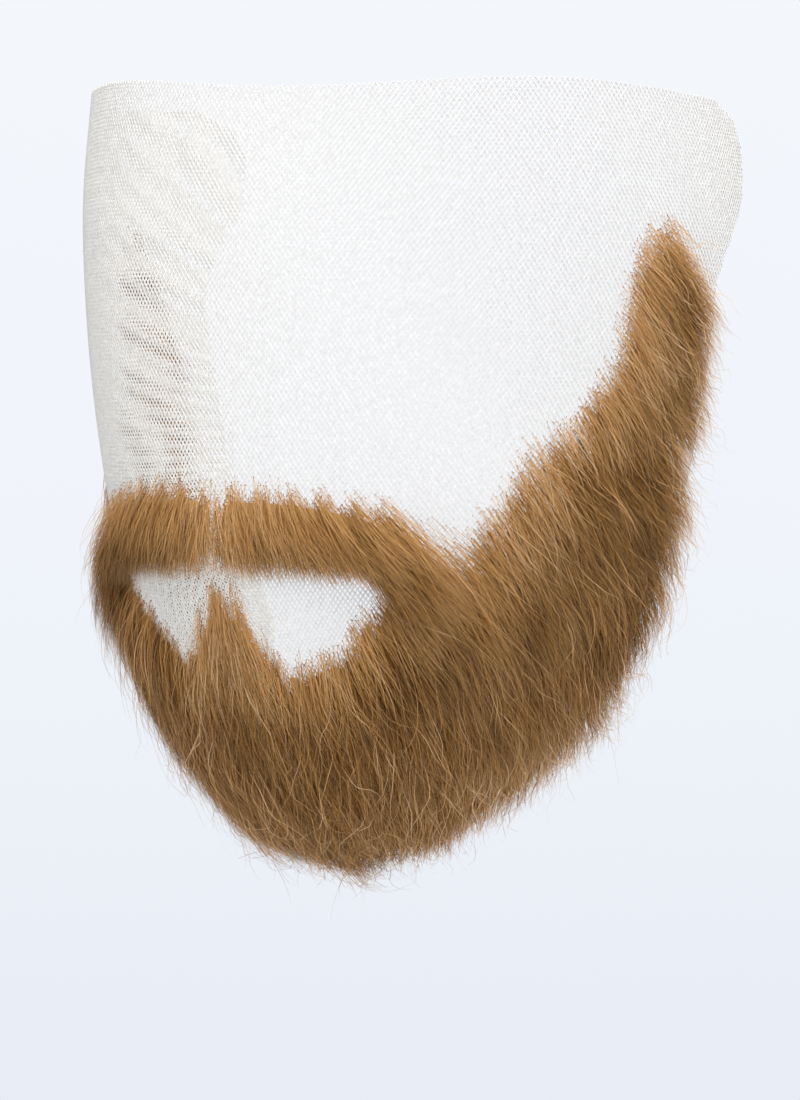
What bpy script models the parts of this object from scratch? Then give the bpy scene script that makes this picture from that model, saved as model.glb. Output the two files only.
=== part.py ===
# Fake beard: a full beard in hair sections, knotted on one uncut sheet of lace.
# Metres, +Z up. The face looks towards -Y and +X is the wearer's left.
# The origin is on the inner face of the lace, at the front of the chin.

import math

import bpy
import numpy as np

# The lace is shaped on a face form. These are the form's own sizes.
FORM_HALF_WIDTH = 0.0746
FORM_DEPTH = 0.0985
FORM_HEIGHT = 0.186

# The lace sheet
LACE_WALL = 0.0010
LACE_REAR_TURN = 110.0
LACE_EAR_TURN = 99.0
LACE_HEM_SHARE = 0.985
LACE_EDGE_WAVE = 0.0012
LACE_COLUMNS = 36

# How far the hair stands off the lace
HAIRLINE_DEPTH = 0.0013
MOUSTACHE_DEPTH = 0.0068
SOUL_PATCH_DEPTH = 0.0046
CHIN_DEPTH = 0.0080
CHEEK_DEPTH = 0.0084
SIDEBURN_DEPTH = 0.0062
REAR_DEPTH = 0.0042

# Clearances: hair to lace, and each hair section to the next one
SEAT_GAP = 0.0005
SECTION_GAP = 0.0006

# Locks of hair: how many side by side, in how many rows, and how many locks they lean over
LOCK_RELIEF_SHARE = 0.42
TIP_LENGTH = 0.0050
MOUSTACHE_TIP_LENGTH = 0.0022
MOUSTACHE_LOCKS, MOUSTACHE_SHINGLES, MOUSTACHE_SLANT = 8, 2, -1.0
SOUL_PATCH_LOCKS, SOUL_PATCH_SHINGLES, SOUL_PATCH_SLANT = 3, 2, 0.0
CHIN_LOCKS, CHIN_SHINGLES, CHIN_SLANT = 10, 4, 0.0
CHEEK_LOCKS, CHEEK_SHINGLES, CHEEK_SLANT = 8, 5, -1.0
SIDEBURN_LOCKS, SIDEBURN_SHINGLES, SIDEBURN_SLANT = 4, 4, -1.2
LOCK_COLUMNS = 3

# Where the sections meet: turns in degrees from the middle of the face
PARTING_TURN = 0.9
MOUTH_CORNER_TURN = 36.0
MOUSTACHE_END_TURN = 39.0
CHIN_END_TURN = 45.0
SOUL_PATCH_TURN = 13.5
SIDEBURN_FRONT_TURN = 64.5
SIDEBURN_REAR_TURN = 95.5
CHEEK_REAR_TURN = 96.0

# Where they meet: shares of the form's length, from the top edge to under the chin
HAIRLINE_END_SHARE = 0.447
LIP_SHARE = 0.503
MOUTH_SEAM_SHARE = 0.546
SOUL_PATCH_TIP_SHARE = 0.527
SOUL_PATCH_BASE_SHARE = 0.618
SIDEBURN_TIP_SHARE = 0.132
SIDEBURN_BASE_SHARE = 0.360
BEARD_HEM_SHARE = 0.945
CHIN_SEAT_SHARE = 0.790

LACE_COLOUR = (0.80, 0.79, 0.75, 1.0)
HAIR_COLOUR = (0.36, 0.19, 0.075, 1.0)
SIDEBURN_COLOUR = (0.40, 0.22, 0.09, 1.0)
MOUSTACHE_COLOUR = (0.38, 0.20, 0.08, 1.0)

# Sections of the form, as shares of its half width, depth and height
FORM_COLUMNS = ("down", "front_depth", "front_level", "side_depth", "side_level", "width", "pinch")
FORM_SECTIONS = (
    (0.000, 0.934, 1.000, 0.00, 1.000, 0.987, 0.00),
    (0.116, 0.975, 0.860, 0.00, 0.860, 1.000, 0.00),
    (0.222, 0.995, 0.731, 0.00, 0.731, 0.972, 0.00),
    (0.328, 1.000, 0.602, 0.00, 0.613, 0.925, 0.00),
    (0.407, 0.995, 0.505, 0.00, 0.532, 0.885, 0.02),
    (0.474, 0.980, 0.425, 0.00, 0.478, 0.851, 0.04),
    (0.532, 0.954, 0.357, 0.00, 0.430, 0.818, 0.06),
    (0.603, 0.895, 0.280, 0.00, 0.382, 0.784, 0.08),
    (0.678, 0.812, 0.206, -0.01, 0.339, 0.745, 0.10),
    (0.756, 0.700, 0.138, -0.02, 0.301, 0.700, 0.12),
    (0.837, 0.558, 0.082, -0.03, 0.269, 0.660, 0.14),
    (0.920, 0.386, 0.045, -0.03, 0.242, 0.620, 0.16),
    (1.000, 0.203, 0.034, -0.03, 0.215, 0.590, 0.18),
)

# Outlines on the form: turn in degrees, down as a share
CHEEK_HAIRLINE = (
    (MOUSTACHE_END_TURN, HAIRLINE_END_SHARE),
    (43.0, 0.473),
    (47.5, 0.490),
    (52.5, 0.463),
    (55.5, 0.430),
    (57.5, 0.396),
    (61.0, 0.374),
    (SIDEBURN_FRONT_TURN, SIDEBURN_BASE_SHARE),
    (SIDEBURN_REAR_TURN, SIDEBURN_BASE_SHARE),
)
BEARD_HEM = (
    (0.0, BEARD_HEM_SHARE),
    (76.0, BEARD_HEM_SHARE),
    (88.0, 0.912),
    (CHEEK_REAR_TURN, 0.840),
)
MOUSTACHE_HAIRLINE = (
    (PARTING_TURN, 0.424),
    (5.0, 0.414),
    (14.0, 0.413),
    (24.0, 0.424),
    (33.0, 0.434),
    (MOUSTACHE_END_TURN, HAIRLINE_END_SHARE),
)
MOUSTACHE_LIP_LINE = (
    (PARTING_TURN, 0.497),
    (5.0, LIP_SHARE),
    (24.0, 0.510),
    (31.0, 0.518),
    (34.0, 0.530),
    (MOUTH_CORNER_TURN, MOUTH_SEAM_SHARE),
    (MOUSTACHE_END_TURN, MOUTH_SEAM_SHARE),
)
CHIN_HAIRLINE = (
    (0.0, SOUL_PATCH_BASE_SHARE),
    (SOUL_PATCH_TURN, SOUL_PATCH_BASE_SHARE),
    (17.5, 0.622),
    (22.0, 0.615),
    (28.5, 0.600),
    (33.0, 0.570),
    (MOUTH_CORNER_TURN, MOUTH_SEAM_SHARE),
    (MOUSTACHE_END_TURN, MOUTH_SEAM_SHARE),
)

# Edges of the sideburn at each height: down, front turn, rear turn
SIDEBURN_EDGES = (
    (SIDEBURN_TIP_SHARE, 80.0, 84.0),
    (0.150, 77.0, 86.5),
    (0.190, 74.5, 90.5),
    (0.233, 74.0, 93.5),
    (0.278, 73.0, 95.0),
    (0.315, 71.0, SIDEBURN_REAR_TURN),
    (SIDEBURN_BASE_SHARE, SIDEBURN_FRONT_TURN, SIDEBURN_REAR_TURN),
)

# Rows of the lace grid, closer where the chin turns under, and the turn of the edge at each
LACE_EDGE = (
    (0.000, LACE_REAR_TURN - 12.0),
    (0.022, LACE_REAR_TURN - 3.0),
    (0.060, LACE_REAR_TURN),
    (0.115, LACE_REAR_TURN - 1.5),
    (0.150, LACE_REAR_TURN - 6.0),
    (0.200, LACE_EAR_TURN),
    (0.640, LACE_EAR_TURN + 1.5),
    (0.800, LACE_EAR_TURN + 0.5),
    (0.900, LACE_EAR_TURN - 4.0),
    (0.960, LACE_EAR_TURN - 12.0),
    (1.000, LACE_EAR_TURN - 22.0),
)
LACE_ROWS = (
    0.000, 0.022, 0.060, 0.115, 0.170, 0.230, 0.290, 0.350, 0.405, 0.455, 0.500, 0.540,
    0.580, 0.620, 0.658, 0.695, 0.730, 0.765, 0.800, 0.833, 0.866, 0.900, 0.933, 0.966, 1.000,
)


def form_values(down):
    # Smooth values of the form's sections, read by cubic curves through the table
    table = np.array(FORM_SECTIONS)
    downs, values = table[:, 0], table[:, 1:]
    slopes = np.gradient(values, downs, axis=0)
    row = int(np.clip(np.searchsorted(downs, down, side="right") - 1, 0, len(downs) - 2))
    step = downs[row + 1] - downs[row]
    share = (down - downs[row]) / step
    start_weight = 2 * share**3 - 3 * share**2 + 1
    out_weight = (share**3 - 2 * share**2 + share) * step
    in_weight = (share**3 - share**2) * step
    blended = (
        start_weight * values[row]
        + out_weight * slopes[row]
        + (1 - start_weight) * values[row + 1]
        + in_weight * slopes[row + 1]
    )
    return dict(zip(FORM_COLUMNS[1:], blended))


def form_point(turn, down):
    # A point of the form: turn goes round from the middle of the face, down from the top edge
    row = form_values(down)
    across, ahead = math.sin(math.radians(turn)), math.cos(math.radians(turn))
    x = FORM_HALF_WIDTH * row["width"] * across * (1 - row["pinch"] * ahead * ahead)
    y = -FORM_DEPTH * (row["side_depth"] + (row["front_depth"] - row["side_depth"]) * ahead)
    z = FORM_HEIGHT * (row["side_level"] + (row["front_level"] - row["side_level"]) * ahead)
    return np.array((x, y, z))


def form_steps(turn, down):
    # Metres along the form for each degree of turn, and for each unit of down
    turn_probe, down_probe = 0.1, 0.002
    across = form_point(turn + turn_probe, down) - form_point(turn - turn_probe, down)
    along = form_point(turn, down + down_probe) - form_point(turn, down - down_probe)
    return across / (2 * turn_probe), along / (2 * down_probe)


def lifted_point(turn, down, lift):
    # A point that stands off the form by lift, with the origin at the chin seat
    across, along = form_steps(turn, down)
    normal = np.cross(along, across)
    normal /= np.linalg.norm(normal)
    return form_point(turn, down) + normal * lift - form_point(0.0, CHIN_SEAT_SHARE)


def read_line(line, turn):
    # Height of an outline at a turn, the same on both sides of the face
    turns, downs = zip(*line)
    return float(np.interp(abs(turn), turns, downs))


def smooth(share):
    share = min(max(share, 0.0), 1.0)
    return share * share * (3 - 2 * share)


def mix(first, second, share):
    return first + (second - first) * share


def make_material(name, colour, roughness):
    material = bpy.data.materials.new(name)
    material.use_nodes = True
    shader = material.node_tree.nodes["Principled BSDF"]
    shader.inputs["Base Color"].default_value = colour
    shader.inputs["Roughness"].default_value = roughness
    shader.inputs["Metallic"].default_value = 0.0
    material.diffuse_color = colour
    return material


def make_sheet_solid(name, inner, outer, material):
    # A closed solid between two grids of points, each a list of rows
    rows, columns = len(inner), len(inner[0])
    points = [point for grid in (inner, outer) for row in grid for point in row]

    def corner(side, row, column):
        return side * rows * columns + row * columns + column

    faces = []
    for row in range(rows - 1):
        for column in range(columns - 1):
            for side in (0, 1):
                face = [
                    corner(side, row, column),
                    corner(side, row + 1, column),
                    corner(side, row + 1, column + 1),
                    corner(side, row, column + 1),
                ]
                faces.append(face if side else face[::-1])
    border = [(0, column) for column in range(columns)]
    border += [(row, columns - 1) for row in range(1, rows)]
    border += [(rows - 1, column) for column in range(columns - 2, -1, -1)]
    border += [(row, 0) for row in range(rows - 2, 0, -1)]
    for place, following in zip(border, border[1:] + border[:1]):
        faces.append([corner(1, *place), corner(1, *following), corner(0, *following), corner(0, *place)])

    mesh = bpy.data.meshes.new(name)
    mesh.from_pydata([tuple(point) for point in points], [], faces)
    mesh.materials.append(material)
    mesh.shade_smooth()
    mesh.set_sharp_from_angle(angle=math.radians(50))
    solid = bpy.data.objects.new(name, mesh)
    bpy.context.scene.collection.objects.link(solid)
    return solid


def make_lace(material):
    # One uncut sheet from the forehead to under the chin, with rounded rear corners
    edge_downs, edge_turns = zip(*LACE_EDGE)
    inner, outer = [], []
    for down_share in LACE_ROWS:
        edge_turn = float(np.interp(down_share, edge_downs, edge_turns))
        inner_row, outer_row = [], []
        for column in range(LACE_COLUMNS + 1):
            turn = edge_turn * (2 * column / LACE_COLUMNS - 1)
            wave = LACE_EDGE_WAVE * math.sin(math.radians(turn * 4 + 30)) * (1 - smooth(down_share * 6))
            down = down_share * LACE_HEM_SHARE + wave / FORM_HEIGHT
            inner_row.append(lifted_point(turn, down, 0.0))
            outer_row.append(lifted_point(turn, down, LACE_WALL))
        inner.append(inner_row)
        outer.append(outer_row)
    return make_sheet_solid("lace_foundation", inner, outer, material)


def lock_height(across, along, locks, slant, shingles):
    # Relief of the locks, from 1 on a ridge to less in a groove, in rows laid like shingles
    shingle = min(int(along * shingles), shingles - 1)
    reach = along * shingles - shingle
    phase = (across * locks + slant * along + 0.5 * (shingle % 2)) % 1.0
    ridge = (1 - abs(2 * phase - 1)) ** 0.8
    return 1 - LOCK_RELIEF_SHARE * (1 - ridge * mix(0.35, 1.0, reach))


def shingle_rows(shingles):
    # Shares along the hair at the root, middle and tip of each row of locks
    shares = [(shingle + part) / shingles for shingle in range(shingles) for part in (0.0, 0.5, 0.96)]
    return shares[:-1] + [1.0]


def make_section(name, place, depth, locks, shingles, slant, tip, side, material):
    # A body of hair on the lace. place and depth are functions of the shares across and along it
    columns = locks * LOCK_COLUMNS
    inner, outer = [], []
    for along in shingle_rows(shingles):
        inner_row, outer_row = [], []
        for column in range(columns + 1):
            across = column / columns
            turn, down = place(across, along)
            across_step, along_step = (float(np.linalg.norm(step)) for step in form_steps(turn, down))
            inset = SECTION_GAP / 2
            turn += inset / across_step * ((column == 0) - (column == columns))
            down += inset / along_step * ((along == 0.0) - (along == 1.0))
            height = lock_height(across, along, locks, slant, shingles)
            if along == 1.0 and tip:
                down -= tip / along_step * (1 - height) / LOCK_RELIEF_SHARE
            seat = LACE_WALL + SEAT_GAP
            lift = seat + depth(across, along) * height
            inner_row.append(lifted_point(side * turn, down, seat))
            outer_row.append(lifted_point(side * turn, down, lift))
        if side < 0:
            inner_row.reverse()
            outer_row.reverse()
        inner.append(inner_row)
        outer.append(outer_row)
    return make_sheet_solid(name, inner, outer, material)


def moustache_place(across, along):
    turn = mix(PARTING_TURN, MOUSTACHE_END_TURN, across)
    return turn, mix(read_line(MOUSTACHE_HAIRLINE, turn), read_line(MOUSTACHE_LIP_LINE, turn), along)


def moustache_depth(across, along):
    swell = mix(HAIRLINE_DEPTH, MOUSTACHE_DEPTH, smooth(along / 0.75))
    parting = mix(0.55, 1.0, smooth(across / 0.12))
    end = mix(1.0, CHEEK_DEPTH / MOUSTACHE_DEPTH, smooth(across))
    return swell * parting * end * mix(1.0, 0.72, smooth((along - 0.85) / 0.15))


def soul_patch_place(across, along):
    turn = mix(-1, 1, across) * mix(PARTING_TURN, SOUL_PATCH_TURN, along)
    return turn, mix(SOUL_PATCH_TIP_SHARE, SOUL_PATCH_BASE_SHARE, along)


def soul_patch_depth(across, along):
    crown = mix(0.45, 1.0, math.sin(math.pi * across))
    return mix(HAIRLINE_DEPTH, SOUL_PATCH_DEPTH * crown, smooth(along / 0.8))


def chin_place(across, along):
    spread = mix(-1, 1, across)
    top_turn, hem_turn = MOUSTACHE_END_TURN * spread, CHIN_END_TURN * spread
    turn = mix(top_turn, hem_turn, along)
    return turn, mix(read_line(CHIN_HAIRLINE, top_turn), read_line(BEARD_HEM, hem_turn), along)


def chin_depth(across, along):
    spread = abs(mix(-1, 1, across))
    middle = smooth(1 - spread / (SOUL_PATCH_TURN / MOUSTACHE_END_TURN * 1.4))
    start = mix(HAIRLINE_DEPTH * 1.5, SOUL_PATCH_DEPTH, middle)
    start = mix(start, CHEEK_DEPTH, smooth((spread - 0.8) / 0.2))
    full = mix(CHIN_DEPTH, CHEEK_DEPTH, smooth(spread))
    return mix(start, full, smooth(along / 0.40)) * mix(1.0, 0.55, smooth((along - 0.8) / 0.2))


def cheek_place(across, along):
    top_turn = mix(MOUSTACHE_END_TURN, SIDEBURN_REAR_TURN, across)
    hem_turn = mix(CHIN_END_TURN, CHEEK_REAR_TURN, across)
    front_top = read_line(CHEEK_HAIRLINE, top_turn)
    return mix(top_turn, hem_turn, along), mix(front_top, read_line(BEARD_HEM, hem_turn), along)


def cheek_depth(across, along):
    top_turn = mix(MOUSTACHE_END_TURN, SIDEBURN_REAR_TURN, across)
    sideburn_width = SIDEBURN_REAR_TURN - SIDEBURN_FRONT_TURN
    sideburn_share = (top_turn - SIDEBURN_FRONT_TURN) / sideburn_width
    start = sideburn_depth(sideburn_share, 1.0) if sideburn_share > 0 else HAIRLINE_DEPTH
    start = mix(CHEEK_DEPTH * 0.8, start, smooth(across / 0.12))
    full = mix(CHEEK_DEPTH, REAR_DEPTH, smooth((across - 0.8) / 0.2))
    return mix(start, full, smooth(along / 0.30)) * mix(1.0, 0.55, smooth((along - 0.8) / 0.2))


def sideburn_place(across, along):
    down = mix(SIDEBURN_TIP_SHARE, SIDEBURN_BASE_SHARE, along)
    downs, fronts, rears = zip(*SIDEBURN_EDGES)
    return mix(float(np.interp(down, downs, fronts)), float(np.interp(down, downs, rears)), across), down


def sideburn_depth(across, along):
    swell = mix(HAIRLINE_DEPTH, SIDEBURN_DEPTH, smooth(across / 0.45))
    swell = mix(swell, REAR_DEPTH, smooth((across - 0.65) / 0.35))
    return mix(HAIRLINE_DEPTH, swell, smooth(along / 0.45))


def build():
    for old in list(bpy.data.objects):
        bpy.data.objects.remove(old, do_unlink=True)
    lace = make_material("lace_net", LACE_COLOUR, 0.85)
    hair = make_material("beard_hair", HAIR_COLOUR, 0.55)
    moustache_hair = make_material("moustache_hair", MOUSTACHE_COLOUR, 0.55)
    sideburn_hair = make_material("sideburn_hair", SIDEBURN_COLOUR, 0.55)

    make_lace(lace)
    make_section("soul_patch", soul_patch_place, soul_patch_depth,
                 SOUL_PATCH_LOCKS, SOUL_PATCH_SHINGLES, SOUL_PATCH_SLANT, 0.0, 1, hair)
    make_section("chin_beard", chin_place, chin_depth,
                 CHIN_LOCKS, CHIN_SHINGLES, CHIN_SLANT, TIP_LENGTH, 1, hair)
    for label, side in (("left", 1), ("right", -1)):
        make_section("moustache_" + label, moustache_place, moustache_depth,
                     MOUSTACHE_LOCKS, MOUSTACHE_SHINGLES, MOUSTACHE_SLANT, MOUSTACHE_TIP_LENGTH, side, moustache_hair)
        make_section("cheek_" + label, cheek_place, cheek_depth,
                     CHEEK_LOCKS, CHEEK_SHINGLES, CHEEK_SLANT, TIP_LENGTH, side, hair)
        make_section("sideburn_" + label, sideburn_place, sideburn_depth,
                     SIDEBURN_LOCKS, SIDEBURN_SHINGLES, SIDEBURN_SLANT, 0.0, side, sideburn_hair)


build()
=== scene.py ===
import math

import bpy
import numpy as np
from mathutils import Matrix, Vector


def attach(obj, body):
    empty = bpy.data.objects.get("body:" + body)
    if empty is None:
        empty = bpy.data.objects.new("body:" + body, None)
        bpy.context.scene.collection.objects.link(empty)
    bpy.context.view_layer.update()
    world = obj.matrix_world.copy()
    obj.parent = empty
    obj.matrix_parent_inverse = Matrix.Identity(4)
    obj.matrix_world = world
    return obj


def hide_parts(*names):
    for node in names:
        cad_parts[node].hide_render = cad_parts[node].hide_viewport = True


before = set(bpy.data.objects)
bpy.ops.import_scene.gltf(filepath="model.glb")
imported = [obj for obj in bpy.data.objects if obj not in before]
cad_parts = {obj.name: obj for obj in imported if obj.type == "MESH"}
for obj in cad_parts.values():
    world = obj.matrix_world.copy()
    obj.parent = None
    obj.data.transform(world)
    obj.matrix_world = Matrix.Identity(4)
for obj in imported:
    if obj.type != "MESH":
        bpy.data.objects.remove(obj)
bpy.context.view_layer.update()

print("beard: frame loaded")


# The face form that the lace is shaped on, in metres. Turn is in degrees from the middle of
# the face, and down runs from 0 at the top edge to 1 under the chin.
faceForm = {
    "halfWidth": 0.0746,
    "depth": 0.0985,
    "height": 0.186,
    "seatDown": 0.790,  # the chin seat, where the frame has its origin
    "turnMetres": 0.0013,  # rough length on the form of one degree of turn
    "downMetres": 0.22,  # and of one unit of down
}

# down, front depth, front level, side depth, side level, width, pinch
formSections = np.array((
    (0.000, 0.934, 1.000, 0.00, 1.000, 0.987, 0.00),
    (0.116, 0.975, 0.860, 0.00, 0.860, 1.000, 0.00),
    (0.222, 0.995, 0.731, 0.00, 0.731, 0.972, 0.00),
    (0.328, 1.000, 0.602, 0.00, 0.613, 0.925, 0.00),
    (0.407, 0.995, 0.505, 0.00, 0.532, 0.885, 0.02),
    (0.474, 0.980, 0.425, 0.00, 0.478, 0.851, 0.04),
    (0.532, 0.954, 0.357, 0.00, 0.430, 0.818, 0.06),
    (0.603, 0.895, 0.280, 0.00, 0.382, 0.784, 0.08),
    (0.678, 0.812, 0.206, -0.01, 0.339, 0.745, 0.10),
    (0.756, 0.700, 0.138, -0.02, 0.301, 0.700, 0.12),
    (0.837, 0.558, 0.082, -0.03, 0.269, 0.660, 0.14),
    (0.920, 0.386, 0.045, -0.03, 0.242, 0.620, 0.16),
    (1.000, 0.203, 0.034, -0.03, 0.215, 0.590, 0.18),
))


def formPoint(turn, down):
    # points of the form for arrays of turn and down, read by cubic curves through the sections
    turn, down = np.broadcast_arrays(np.asarray(turn, float), np.asarray(down, float))
    downs, values = formSections[:, 0], formSections[:, 1:]
    slopes = np.gradient(values, downs, axis=0)
    row = np.clip(np.searchsorted(downs, down, side="right") - 1, 0, len(downs) - 2)
    step = (downs[row + 1] - downs[row])[..., None]
    share = (down - downs[row])[..., None] / step
    lift = 2 * share**3 - 3 * share**2 + 1
    read = (lift * values[row] + (share**3 - 2 * share**2 + share) * step * slopes[row]
            + (1 - lift) * values[row + 1] + (share**3 - share**2) * step * slopes[row + 1])
    frontDepth, frontLevel, sideDepth, sideLevel, width, pinch = np.moveaxis(read, -1, 0)
    across, ahead = np.sin(np.radians(turn)), np.cos(np.radians(turn))
    x = faceForm["halfWidth"] * width * across * (1 - pinch * ahead * ahead)
    y = -faceForm["depth"] * (sideDepth + (frontDepth - sideDepth) * ahead)
    z = faceForm["height"] * (sideLevel + (frontLevel - sideLevel) * ahead)
    return np.stack((x, y, z), -1)


formSeat = formPoint(0.0, faceForm["seatDown"])


def formSteps(turn, down):
    # metres along the form for each degree of turn and each unit of down, and the outward normal
    turnProbe, downProbe = 0.1, 0.002
    across = (formPoint(turn + turnProbe, down) - formPoint(turn - turnProbe, down)) / (2 * turnProbe)
    along = (formPoint(turn, down + downProbe) - formPoint(turn, down - downProbe)) / (2 * downProbe)
    normal = np.cross(along, across)
    return across, along, normal / np.linalg.norm(normal, axis=-1, keepdims=True)


def lifted(turn, down, lift):
    # points that stand off the form, in the frame's own coordinates
    normal = formSteps(turn, down)[2]
    return formPoint(turn, down) + normal * np.asarray(lift, float)[..., None] - formSeat


def smooth(share):
    share = np.clip(share, 0.0, 1.0)
    return share * share * (3 - 2 * share)


def mix(first, second, share):
    return first + (second - first) * share


def unit(vectors):
    return vectors / np.maximum(np.linalg.norm(vectors, axis=-1, keepdims=True), 1e-9)


# Outlines on the form: turn, down
cheekHairline = ((39.0, 0.447), (43.0, 0.473), (47.5, 0.490), (52.5, 0.463), (55.5, 0.430),
        (57.5, 0.396), (61.0, 0.374), (64.5, 0.360), (95.5, 0.360))
moustacheHairline = ((0.0, 0.424), (5.0, 0.414), (14.0, 0.413), (24.0, 0.424), (33.0, 0.434), (39.0, 0.447))
moustacheRootEnd = ((0.0, 0.462), (12.0, 0.470), (24.0, 0.478), (31.0, 0.495), (36.0, 0.536), (39.0, 0.546))
chinHairline = ((0.0, 0.618), (13.5, 0.614), (17.5, 0.612), (22.0, 0.604), (28.5, 0.590),
        (33.0, 0.563), (36.0, 0.546), (39.0, 0.546))
beardHem = ((0.0, 0.935), (60.0, 0.930), (76.0, 0.915), (86.0, 0.880), (92.0, 0.800))
sideburnEdges = ((0.132, 80.0, 84.0), (0.150, 77.0, 85.5), (0.190, 74.5, 87.5), (0.233, 74.0, 89.5),
        (0.278, 73.0, 90.5), (0.315, 71.0, 91.0), (0.360, 64.5, 91.0))  # down, front turn, rear turn


def readLine(line, place):
    places, values = np.array(line).T[:2]
    return np.interp(np.abs(place), places, values)


# Helpers for node trees
def put(tree, kind, inputs=None, **settings):
    # adds a node: settings are its properties, inputs are values or sockets to link
    node = tree.nodes.new(kind)
    for name, value in settings.items():
        setattr(node, name, value)
    for name, value in (inputs or {}).items():
        if isinstance(value, bpy.types.NodeSocket):
            tree.links.new(value, node.inputs[name])
        else:
            node.inputs[name].default_value = value
    return node


def made(tree, kind, inputs=None, **settings):
    # the same, but gives the node's first output
    return put(tree, kind, inputs, **settings).outputs[0]


def calc(tree, operation, first, second=0.0):
    return made(tree, "ShaderNodeMath", {0: first, 1: second}, operation=operation)


def plus(tree, first, *others):
    for other in others:
        first = calc(tree, "ADD", first, other)
    return first


def minus(tree, first, second):
    return calc(tree, "SUBTRACT", first, second)


def times(tree, first, *others):
    for other in others:
        first = calc(tree, "MULTIPLY", first, other)
    return first


def over(tree, first, second):
    return calc(tree, "DIVIDE", first, second)


def vectorCalc(tree, operation, first, second):
    return made(tree, "ShaderNodeVectorMath", {0: first, 1: second}, operation=operation)


def scaled(tree, vector, factor):
    return made(tree, "ShaderNodeVectorMath", {0: vector, "Scale": factor}, operation="SCALE")


def vectorSum(tree, first, *others):
    for other in others:
        first = vectorCalc(tree, "ADD", first, other)
    return first


def combined(tree, x, y=0.0, z=0.0):
    return made(tree, "ShaderNodeCombineXYZ", {0: x, 1: y, 2: z})


def noise(tree, place, scale, detail=2.0):
    return made(tree, "ShaderNodeTexNoise", {"Vector": place, "Scale": scale, "Detail": detail})


def namedField(tree, name, kind="FLOAT"):
    return made(tree, "GeometryNodeInputNamedAttribute", {"Name": name}, data_type=kind)


def vectorField(tree, name):
    return namedField(tree, name, "FLOAT_VECTOR")


def store(tree, geometry, name, value, kind="FLOAT", domain="POINT"):
    node = put(tree, "GeometryNodeStoreNamedAttribute", {"Geometry": geometry, "Name": name},
            data_type=kind, domain=domain)
    socket = [s for s in node.inputs if s.name == "Value"][0]
    if isinstance(value, bpy.types.NodeSocket):
        tree.links.new(value, socket)
    else:
        socket.default_value = value
    return node.outputs[0]


def copied(tree, points, shape, chosen=True):
    # real copies of a shape at the chosen points
    copies = made(tree, "GeometryNodeInstanceOnPoints",
            {"Points": points, "Instance": shape, "Selection": chosen})
    return made(tree, "GeometryNodeRealizeInstances", {0: copies})


def joined(tree, parts):
    node = tree.nodes.new("GeometryNodeJoinGeometry")
    for part in parts:
        tree.links.new(part, node.inputs[0])
    return node.outputs[0]


def newTree(name, numbers):
    # a Geometry Nodes tree with a geometry, its named inputs and a material
    tree = bpy.data.node_groups.new(name, "GeometryNodeTree")
    tree.interface.new_socket("Geometry", in_out="OUTPUT", socket_type="NodeSocketGeometry")
    tree.interface.new_socket("Geometry", in_out="INPUT", socket_type="NodeSocketGeometry")
    for label, value in numbers.items():
        kind = "NodeSocketInt" if isinstance(value, int) else "NodeSocketFloat"
        tree.interface.new_socket(label, in_out="INPUT", socket_type=kind).default_value = value
    tree.interface.new_socket("Undercoat", in_out="INPUT", socket_type="NodeSocketObject")
    tree.interface.new_socket("Material", in_out="INPUT", socket_type="NodeSocketMaterial")
    return tree, tree.nodes.new("NodeGroupInput").outputs, tree.nodes.new("NodeGroupOutput").inputs


def finishTree(tree, geometry, spareNames, given, out):
    # takes off the layers that only the tree needs, and ends it in real geometry with its material
    for name in spareNames:
        geometry = made(tree, "GeometryNodeRemoveAttribute", {"Geometry": geometry, "Name": name})
    real = made(tree, "GeometryNodeRealizeInstances", {0: geometry})
    done = made(tree, "GeometryNodeSetMaterial", {"Geometry": real, "Material": given["Material"]})
    tree.links.new(done, out["Geometry"])
    return tree


def addObject(name, data):
    thing = bpy.data.objects.new(name, data)
    bpy.context.scene.collection.objects.link(thing)
    return thing


def grow(name, base, tree, values, material):
    # runs a tree on a base mesh and keeps the result as a plain mesh
    modifier = base.modifiers.new(tree.name, "NODES")
    modifier.node_group = tree
    for item in tree.interface.items_tree:
        if item.in_out == "INPUT" and item.name in values:
            modifier[item.identifier] = values[item.name]
        if item.in_out == "INPUT" and item.name == "Material":
            modifier[item.identifier] = material
    evaluated = base.evaluated_get(bpy.context.evaluated_depsgraph_get())
    mesh = bpy.data.meshes.new_from_object(evaluated)
    mesh.name = name
    base.modifiers.remove(modifier)
    bpy.data.objects.remove(base)
    mesh.calc_loop_triangles()
    print("beard: %s has %d triangles" % (name, len(mesh.loop_triangles)))
    return addObject(name, mesh)


def meshObject(name, points, faces):
    mesh = bpy.data.meshes.new(name)
    mesh.from_pydata([tuple(p) for p in points], [], faces)
    return addObject(name, mesh)


def gridFaces(rows, columns):
    return [(r * columns + c, (r + 1) * columns + c, (r + 1) * columns + c + 1, r * columns + c + 1)
            for r in range(rows - 1) for c in range(columns - 1)]


def addLayers(mesh, numbers, vectors):
    # named values on a mesh's points, for the trees and the materials to read
    for kind, field, layers in (("FLOAT", "value", numbers), ("FLOAT_VECTOR", "vector", vectors)):
        for label, values in layers.items():
            layer = mesh.attributes.new(label, kind, "POINT")
            layer.data.foreach_set(field, np.ascontiguousarray(values, np.float32).ravel())


# Materials
def newMaterial(name):
    material = bpy.data.materials.new(name)
    material.use_nodes = True
    return material, material.node_tree, material.node_tree.nodes["Principled BSDF"]


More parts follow.
